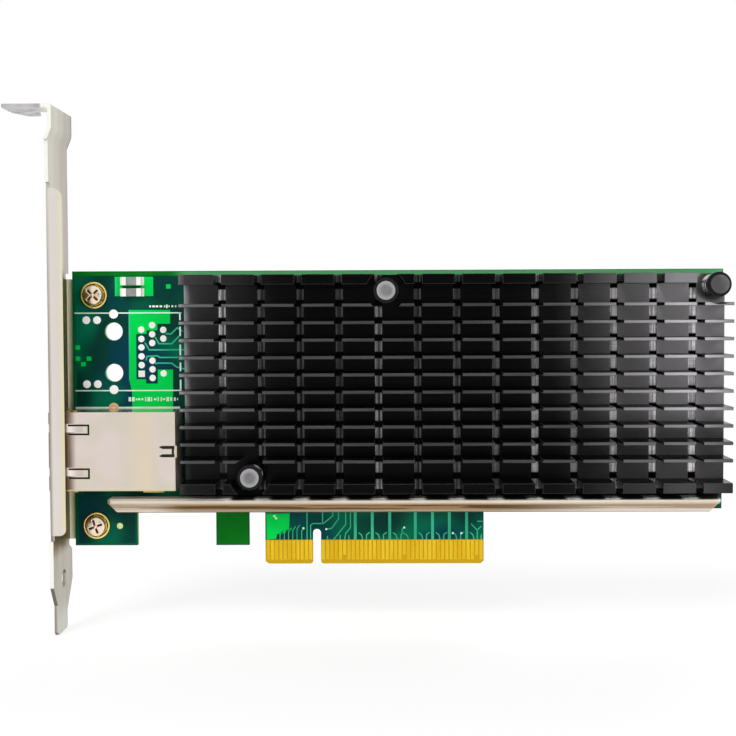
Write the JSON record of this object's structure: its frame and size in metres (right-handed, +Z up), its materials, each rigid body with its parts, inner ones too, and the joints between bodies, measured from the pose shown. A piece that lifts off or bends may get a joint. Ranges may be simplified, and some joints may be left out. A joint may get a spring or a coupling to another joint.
{
  "type": "network interface card",
  "caption": "Full-height add-in network card: green board with gold edge contacts, one network jack, a black cross-cut heatsink and a folded steel bracket.",
  "frame": {"origin": "key notch's centre line at the tip of the edge connector, in the middle of the board's thickness", "axes": "+X along the card away from the bracket, +Z up from the edge connector, -Y out of the component side"},
  "size_m": [0.1634, 0.0199, 0.12],
  "materials": {
    "board_laminate": "glossy solder mask",
    "gold_plate": "satin gold plating",
    "bracket_steel": "nickel-plated, satin",
    "zinc_screw": "yellow zinc plating",
    "shield_metal": "nickel-plated, satin",
    "jack_plastic": "moulded",
    "light_lens": "translucent",
    "black_aluminium": "black anodised",
    "pin_nylon": "moulded",
    "spring_wire": "drawn wire",
    "chip_substrate": "glossy",
    "chip_lid": "satin",
    "thermal_material": "matt",
    "tinned_bar": "tin-plated",
    "chip_ceramic": "matt",
    "moulded_package": "moulded",
    "solder_tin": "solder",
    "crystal_can": "satin"
  },
  "bodies": {
    "root": {"circuit_board": "board_laminate", "edge_contacts_front": "gold_plate", "edge_contacts_back": "gold_plate", "bracket": "bracket_steel", "bracket_screw_upper": "zinc_screw", "bracket_screw_lower": "zinc_screw", "jack_shield": "shield_metal", "jack_housing": "jack_plastic", "jack_light_upper": "light_lens", "jack_light_lower": "light_lens", "jack_contact_wires": "gold_plate", "jack_magnetics": "moulded_package", "jack_pins": "solder_tin", "heatsink": "black_aluminium", "push_pin_one": "pin_nylon", "push_pin_two": "pin_nylon", "push_pin_three": "pin_nylon", "push_pin_spring_one": "spring_wire", "push_pin_spring_two": "spring_wire", "push_pin_spring_three": "spring_wire", "controller_substrate": "chip_substrate", "controller_lid": "chip_lid", "thermal_compound": "thermal_material", "stiffener_bar": "tinned_bar", "power_inductor_1": "moulded_package", "power_inductor_2": "moulded_package", "power_inductor_3": "moulded_package", "gap_pad": "thermal_material", "regulators": "moulded_package", "bulk_capacitors": "moulded_package", "termination_capacitors": "chip_ceramic", "chip_capacitors": "chip_ceramic", "chip_resistors": "moulded_package", "back_capacitors": "chip_ceramic", "flash_memory": "moulded_package", "flash_memory_leads": "solder_tin", "clock_crystal": "crystal_can"}
  },
  "joints": []
}
